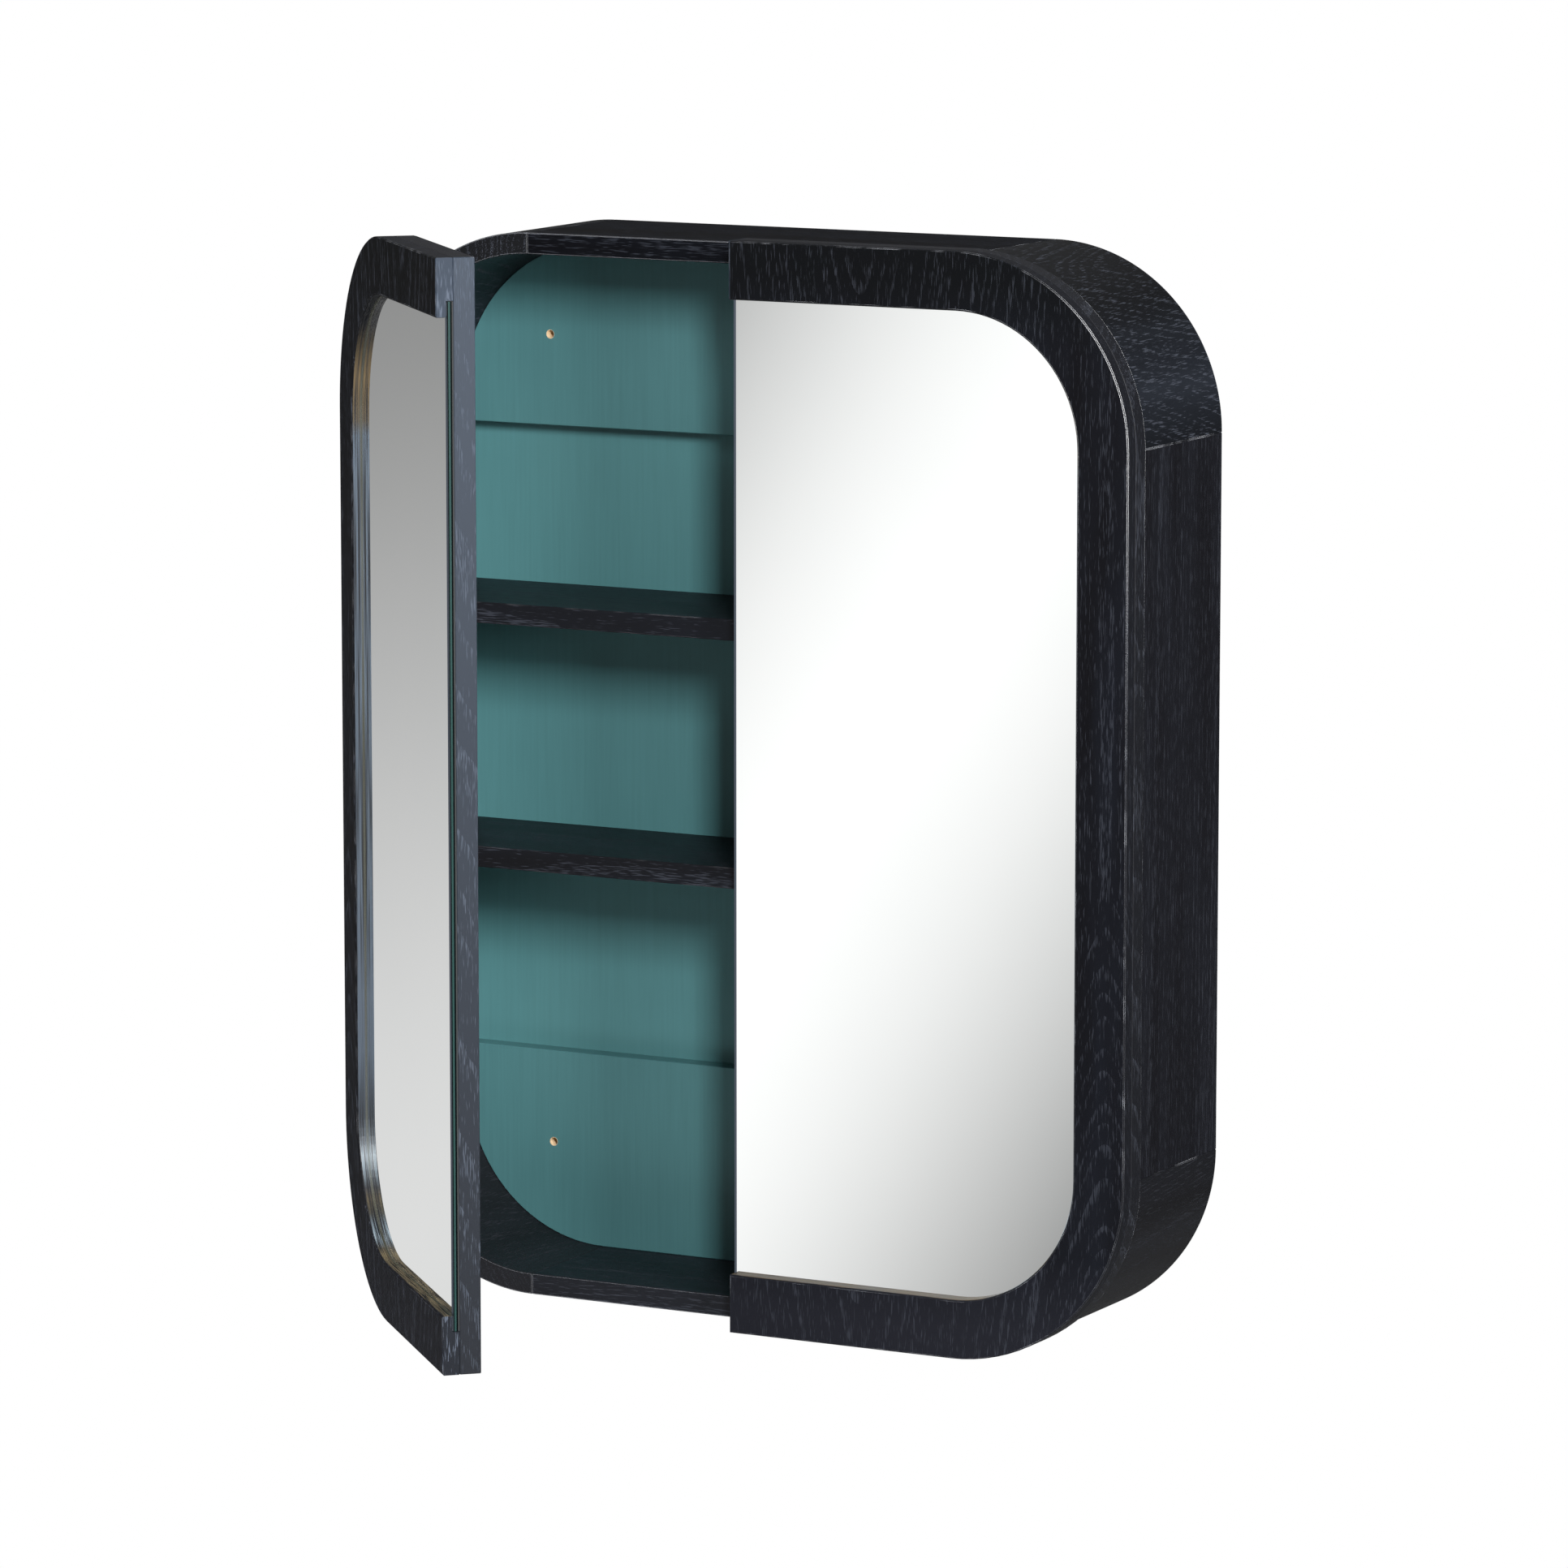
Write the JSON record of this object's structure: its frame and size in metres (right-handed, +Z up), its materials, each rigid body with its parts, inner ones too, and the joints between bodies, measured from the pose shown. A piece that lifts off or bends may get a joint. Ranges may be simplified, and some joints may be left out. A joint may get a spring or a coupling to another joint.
{
  "type": "medicine cabinet with mirror",
  "caption": "Wall-hung medicine cabinet with rounded corners, dark stained veneer, teal back, shelves, and mirrored doors on concealed hinges, for bathroom storage.",
  "frame": {"origin": "middle of the back face that lies on the wall", "axes": "+X to the right seen from the front, +Y into the wall, +Z up; the front faces -Y"},
  "size_m": [0.6203, 0.3649, 0.762],
  "materials": {
    "stained_veneer": "black-blue stained open-pore oak veneer, satin",
    "teal_lacquer": "teal lacquer over board, satin",
    "mirror_glass": "silvered float glass",
    "mirror_backing": "safety backing film with adhesive",
    "nickel_steel": "nickel-plated pressed steel",
    "zinc_steel": "zinc-plated steel",
    "beech_dowel": "plain beech",
    "soft_bumper": "clear soft polyurethane",
    "nylon": "natural nylon"
  },
  "bodies": {
    "carcass": {"back_panel": "teal_lacquer", "back_panel_screws": "zinc_steel", "bottom_panel": "stained_veneer", "corner_dowels": "beech_dowel", "hinge_arm_screws": "zinc_steel", "hinge_plate_screws": "zinc_steel", "left_lower_hinge_arm": "nickel_steel", "left_lower_hinge_plate": "nickel_steel", "left_side_panel": "stained_veneer", "left_upper_hinge_arm": "nickel_steel", "left_upper_hinge_plate": "nickel_steel", "lower_hanging_rail": "teal_lacquer", "lower_left_corner": "stained_veneer", "lower_right_corner": "stained_veneer", "lower_shelf": "stained_veneer", "rail_screws": "zinc_steel", "right_lower_hinge_arm": "nickel_steel", "right_lower_hinge_plate": "nickel_steel", "right_side_panel": "stained_veneer", "right_upper_hinge_arm": "nickel_steel", "right_upper_hinge_plate": "nickel_steel", "shelf_pins": "nickel_steel", "top_panel": "stained_veneer", "upper_hanging_rail": "teal_lacquer", "upper_left_corner": "stained_veneer", "upper_right_corner": "stained_veneer", "upper_shelf": "stained_veneer"},
    "left_door": {"left_bumpers": "soft_bumper", "left_cup_screws": "zinc_steel", "left_door_back": "stained_veneer", "left_door_frame": "stained_veneer", "left_frame_screws": "zinc_steel", "left_hinge_bushes": "nylon", "left_lower_hinge_cup": "nickel_steel", "left_lower_hinge_pin": "nickel_steel", "left_mirror": "mirror_glass", "left_mirror_backing": "mirror_backing", "left_upper_hinge_cup": "nickel_steel", "left_upper_hinge_pin": "nickel_steel"},
    "right_door": {"right_bumpers": "soft_bumper", "right_cup_screws": "zinc_steel", "right_door_back": "stained_veneer", "right_door_frame": "stained_veneer", "right_frame_screws": "zinc_steel", "right_hinge_bushes": "nylon", "right_lower_hinge_cup": "nickel_steel", "right_lower_hinge_pin": "nickel_steel", "right_mirror": "mirror_glass", "right_mirror_backing": "mirror_backing", "right_upper_hinge_cup": "nickel_steel", "right_upper_hinge_pin": "nickel_steel"}
  },
  "joints": [
    {"name": "left_door_hinge", "type": "hinge", "parent": "carcass", "child": "left_door", "pos_m": [-0.298, -0.138, 0], "axis": [0, 0, -1], "range_deg": [-46.5, 48.5]},
    {"name": "right_door_hinge", "type": "hinge", "parent": "carcass", "child": "right_door", "pos_m": [0.298, -0.138, 0], "axis": [0, 0, 1], "range_deg": [0, 95]}
  ]
}
